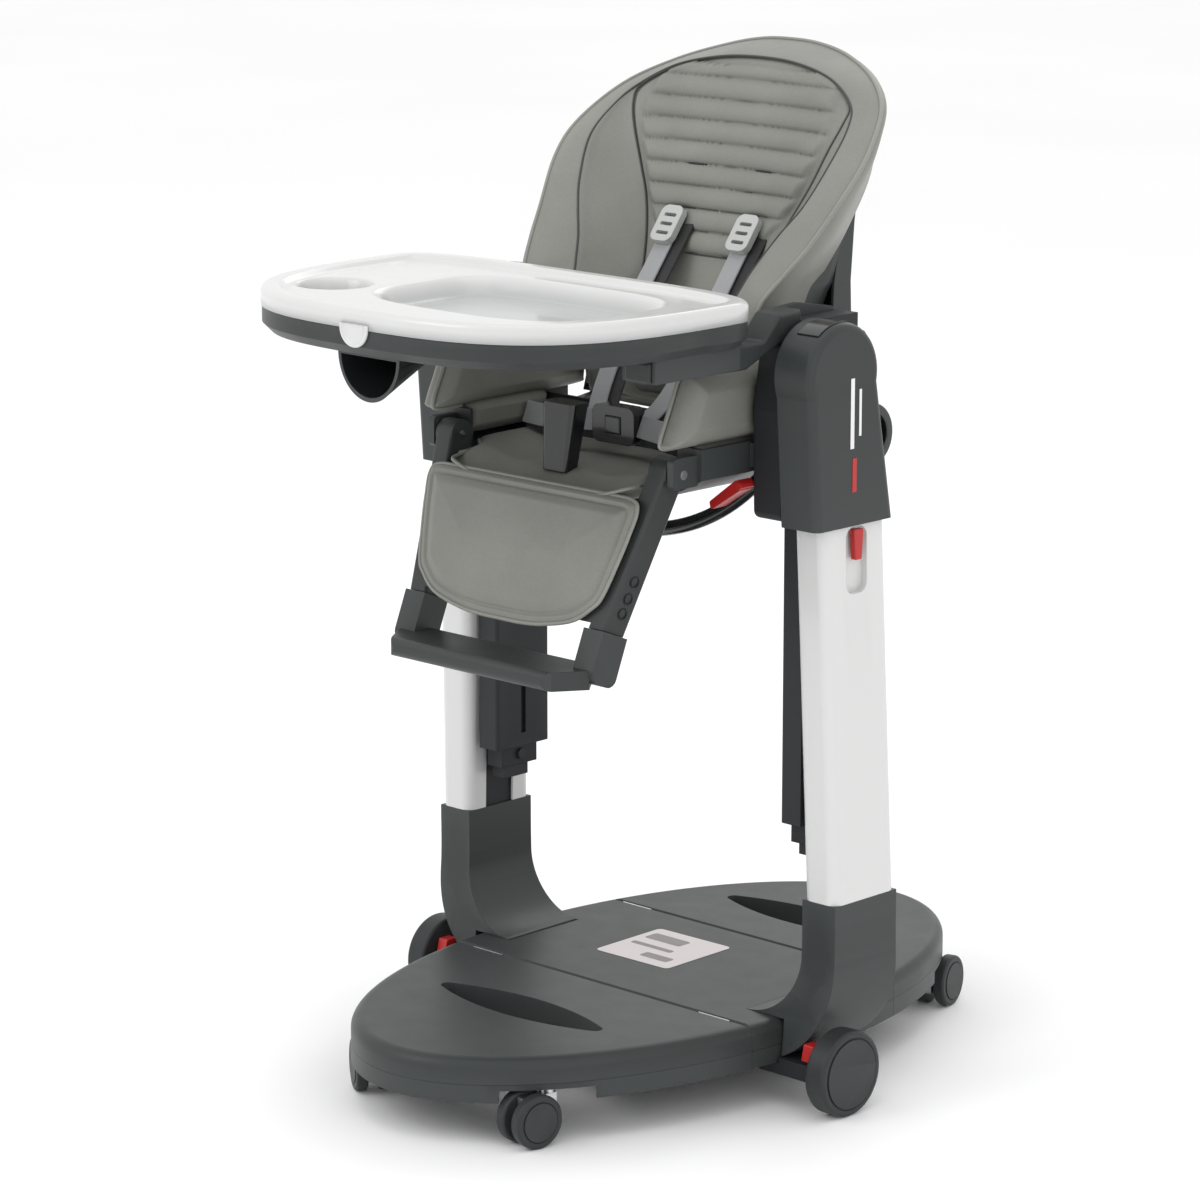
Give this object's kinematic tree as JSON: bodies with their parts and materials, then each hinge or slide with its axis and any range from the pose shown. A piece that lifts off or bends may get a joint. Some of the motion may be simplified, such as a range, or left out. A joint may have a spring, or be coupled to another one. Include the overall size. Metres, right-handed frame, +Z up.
{
  "type": "baby high chair",
  "caption": "Height-adjustable reclining baby high chair on two columns, with removable tray, leg rest, harness and folding oval base on casters.",
  "frame": {"origin": "on the floor, under the middle of the chair's overall box", "axes": "+Z is up, the seated child faces -Y, +X is to the right as seen by someone standing in front of the chair"},
  "size_m": [0.621, 0.8379, 1.077],
  "materials": {
    "charcoal_plastic": "satin moulded charcoal plastic with a fine grain",
    "rail_plastic": "matt near-black plastic",
    "steel": "brushed zinc-plated steel",
    "wheel_plastic": "fine-textured dark plastic, worn at the tread",
    "red_plastic": "semi-gloss red plastic",
    "white_plastic": "glossy white moulded plastic",
    "black_gloss": "glossy black plastic",
    "leatherette": "soft grey synthetic leather with fine grain and sewn piping",
    "webbing": "ribbed silver-grey webbing",
    "grey_plastic": "satin light-grey plastic"
  },
  "bodies": {
    "frame": {"base_centre_upper": "charcoal_plastic", "base_centre_lower": "charcoal_plastic", "base_hinge_pins": "steel", "axle_brackets": "rail_plastic", "side_axles": "steel", "cap_loops": "black_gloss", "foot_left": "charcoal_plastic", "foot_right": "charcoal_plastic", "column_shell_left": "white_plastic", "column_shell_right": "white_plastic", "rail_left": "rail_plastic", "rail_right": "rail_plastic", "cap_left": "charcoal_plastic", "cap_right": "charcoal_plastic"},
    "base_front": {"base_front_upper": "charcoal_plastic", "base_front_lower": "charcoal_plastic"},
    "base_rear": {"base_rear_upper": "charcoal_plastic", "base_rear_lower": "charcoal_plastic"},
    "seat": {"carriage_left": "rail_plastic", "carriage_right": "rail_plastic", "arm_left": "charcoal_plastic", "arm_right": "charcoal_plastic", "side_cushion_left": "leatherette", "side_cushion_right": "leatherette", "seat_shell": "charcoal_plastic", "cross_tube": "black_gloss", "seat_hinge_pins": "steel", "seat_cushion": "leatherette", "crotch_post": "black_gloss", "buckle": "black_gloss", "waist_straps": "webbing"},
    "back": {"back_shell": "charcoal_plastic", "back_pad": "leatherette", "shoulder_straps": "webbing", "strap_adjusters": "grey_plastic"},
    "recline_handle": {"recline_handle": "red_plastic"},
    "leg_rest": {"leg_frame": "charcoal_plastic", "leg_pad": "leatherette"},
    "footrest": {"footrest": "charcoal_plastic"},
    "tray": {"tray_base": "charcoal_plastic"},
    "tray_lid": {"tray_lid": "white_plastic"},
    "tray_grip": {"tray_grip": "black_gloss"},
    "lock_lever": {"lock_lever": "red_plastic"},
    "buckle_button": {"buckle_button": "black_gloss"},
    "caster_front_right": {"caster_fork_front_right": "steel"},
    "wheels_front_right": {"caster_wheels_front_right": "wheel_plastic"},
    "caster_front_left": {"caster_fork_front_left": "steel"},
    "wheels_front_left": {"caster_wheels_front_left": "wheel_plastic"},
    "caster_rear_right": {"caster_fork_rear_right": "steel"},
    "wheels_rear_right": {"caster_wheels_rear_right": "wheel_plastic"},
    "caster_rear_left": {"caster_fork_rear_left": "steel"},
    "wheels_rear_left": {"caster_wheels_rear_left": "wheel_plastic"},
    "side_wheel_left": {"side_wheel_left": "wheel_plastic"},
    "brake_tab_left": {"brake_tab_left": "red_plastic"},
    "release_tab_left": {"release_tab_left": "red_plastic"},
    "cap_button_left": {"cap_button_left": "black_gloss"},
    "side_wheel_right": {"side_wheel_right": "wheel_plastic"},
    "brake_tab_right": {"brake_tab_right": "red_plastic"},
    "release_tab_right": {"release_tab_right": "red_plastic"},
    "cap_button_right": {"cap_button_right": "black_gloss"}
  },
  "joints": [
    {"name": "base_front_fold", "type": "hinge", "parent": "frame", "child": "base_front", "pos_m": [0, -0.072, 0.088], "axis": [-1, 0, 0], "range_deg": [0, 90]},
    {"name": "base_rear_fold", "type": "hinge", "parent": "frame", "child": "base_rear", "pos_m": [0, 0.166, 0.088], "axis": [1, 0, 0], "range_deg": [0, 90]},
    {"name": "caster_swivel_front_right", "type": "hinge", "parent": "base_front", "child": "caster_front_right", "pos_m": [0.133, -0.286, 0.06], "axis": [0, 0, 1], "continuous": true},
    {"name": "caster_roll_front_right", "type": "hinge", "parent": "caster_front_right", "child": "wheels_front_right", "pos_m": [0.12956, -0.30773, 0.0285], "axis": [0.9877, -0.1564, 0], "continuous": true},
    {"name": "caster_swivel_front_left", "type": "hinge", "parent": "base_front", "child": "caster_front_left", "pos_m": [-0.133, -0.286, 0.06], "axis": [0, 0, 1], "continuous": true},
    {"name": "caster_roll_front_left", "type": "hinge", "parent": "caster_front_left", "child": "wheels_front_left", "pos_m": [-0.11476, -0.2983, 0.0285], "axis": [0.5592, 0.829, 0], "continuous": true},
    {"name": "caster_swivel_rear_right", "type": "hinge", "parent": "base_rear", "child": "caster_rear_right", "pos_m": [0.133, 0.322, 0.06], "axis": [0, 0, 1], "continuous": true},
    {"name": "caster_roll_rear_right", "type": "hinge", "parent": "caster_rear_right", "child": "wheels_rear_right", "pos_m": [0.12731, 0.34325, 0.0285], "axis": [-0.9659, -0.2588, 0], "continuous": true},
    {"name": "caster_swivel_rear_left", "type": "hinge", "parent": "base_rear", "child": "caster_rear_left", "pos_m": [-0.133, 0.322, 0.06], "axis": [0, 0, 1], "continuous": true},
    {"name": "caster_roll_rear_left", "type": "hinge", "parent": "caster_rear_left", "child": "wheels_rear_left", "pos_m": [-0.12994, 0.34379, 0.0285], "axis": [-0.9903, 0.1392, 0], "continuous": true},
    {"name": "side_wheel_roll_left", "type": "hinge", "parent": "frame", "child": "side_wheel_left", "pos_m": [-0.2965, -0.015, 0.0457], "axis": [1, 0, 0], "continuous": true},
    {"name": "brake_tab_press_left", "type": "hinge", "parent": "frame", "child": "brake_tab_left", "pos_m": [-0.2715, -0.026, 0.056], "axis": [1, 0, 0], "range_deg": [0, 12]},
    {"name": "release_tab_press_left", "type": "slide", "parent": "frame", "child": "release_tab_left", "axis": [1, 0, 0], "range_m": [0, 0.003], "stiffness_N_per_m": 200},
    {"name": "cap_button_press_left", "type": "slide", "parent": "frame", "child": "cap_button_left", "axis": [0, 0, -1], "range_m": [0, 0.003], "stiffness_N_per_m": 300, "springref_m": -0.001},
    {"name": "side_wheel_roll_right", "type": "hinge", "parent": "frame", "child": "side_wheel_right", "pos_m": [0.2965, -0.015, 0.0457], "axis": [1, 0, 0], "continuous": true},
    {"name": "brake_tab_press_right", "type": "hinge", "parent": "frame", "child": "brake_tab_right", "pos_m": [0.2715, -0.026, 0.056], "axis": [1, 0, 0], "range_deg": [0, 12]},
    {"name": "release_tab_press_right", "type": "slide", "parent": "frame", "child": "release_tab_right", "axis": [-1, 0, 0], "range_m": [0, 0.003], "stiffness_N_per_m": 200},
    {"name": "cap_button_press_right", "type": "slide", "parent": "frame", "child": "cap_button_right", "axis": [0, 0, -1], "range_m": [0, 0.003], "stiffness_N_per_m": 300, "springref_m": -0.001},
    {"name": "seat_height", "type": "slide", "parent": "frame", "child": "seat", "axis": [0, 0, 1], "range_m": [-0.27, 0]},
    {"name": "back_recline", "type": "hinge", "parent": "seat", "child": "back", "pos_m": [0, 0.04, 0.672], "axis": [-1, 0, 0], "range_deg": [0, 45]},
    {"name": "recline_handle_squeeze", "type": "slide", "parent": "back", "child": "recline_handle", "axis": [0, 0.3579, 0.9338], "range_m": [0, 0.008], "stiffness_N_per_m": 200, "springref_m": -0.002},
    {"name": "leg_rest_swing", "type": "hinge", "parent": "seat", "child": "leg_rest", "pos_m": [0, -0.131, 0.676], "axis": [-1, 0, 0], "range_deg": [0, 65]},
    {"name": "footrest_length", "type": "slide", "parent": "leg_rest", "child": "footrest", "axis": [0, -0.3778, -0.9259], "range_m": [0, 0.045]},
    {"name": "tray_depth", "type": "slide", "parent": "seat", "child": "tray", "axis": [0, 1, 0], "range_m": [-0.04, 0.01]},
    {"name": "tray_lid_lift", "type": "slide", "parent": "tray", "child": "tray_lid", "axis": [0, 0, 1], "range_m": [0, 0.06]},
    {"name": "tray_grip_pull", "type": "slide", "parent": "tray", "child": "tray_grip", "axis": [0, -1, 0], "range_m": [0, 0.006], "stiffness_N_per_m": 200, "springref_m": -0.001},
    {"name": "lock_lever_turn", "type": "hinge", "parent": "seat", "child": "lock_lever", "pos_m": [0.19, -0.052, 0.657], "axis": [0, -1, 0], "range_deg": [0, 15], "stiffness_Nm_per_rad": 0.1},
    {"name": "buckle_button_press", "type": "slide", "parent": "seat", "child": "buckle_button", "axis": [0, 1, 0], "range_m": [0, 0.002], "stiffness_N_per_m": 200}
  ]
}
